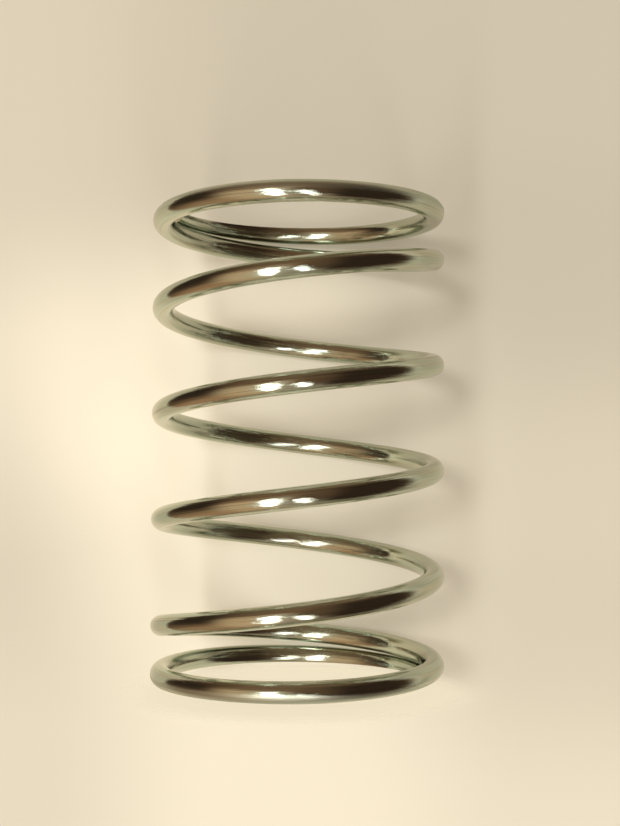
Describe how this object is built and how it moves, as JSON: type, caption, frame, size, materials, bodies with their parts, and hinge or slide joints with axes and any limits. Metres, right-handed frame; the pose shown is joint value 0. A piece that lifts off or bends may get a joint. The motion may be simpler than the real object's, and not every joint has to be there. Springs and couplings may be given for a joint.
{
  "type": "compression spring",
  "caption": "Right-hand coil of round wire with closed, flat-ground ends. It stands on end and pushes back along its axis when it is pressed shorter.",
  "frame": {"origin": "middle of the lower ground end, on the coil's axis", "axes": "+Z along the coil's axis, from the lower ground end to the upper one. The lower tip of the wire lies 18 degrees from +X towards +Y"},
  "size_m": [0.028, 0.028, 0.0455],
  "materials": {
    "spring_wire": "bright zinc plating over drawn steel wire, with fine draw lines along it"
  },
  "bodies": {
    "root": {"coil_spring": "spring_wire"}
  },
  "joints": []
}
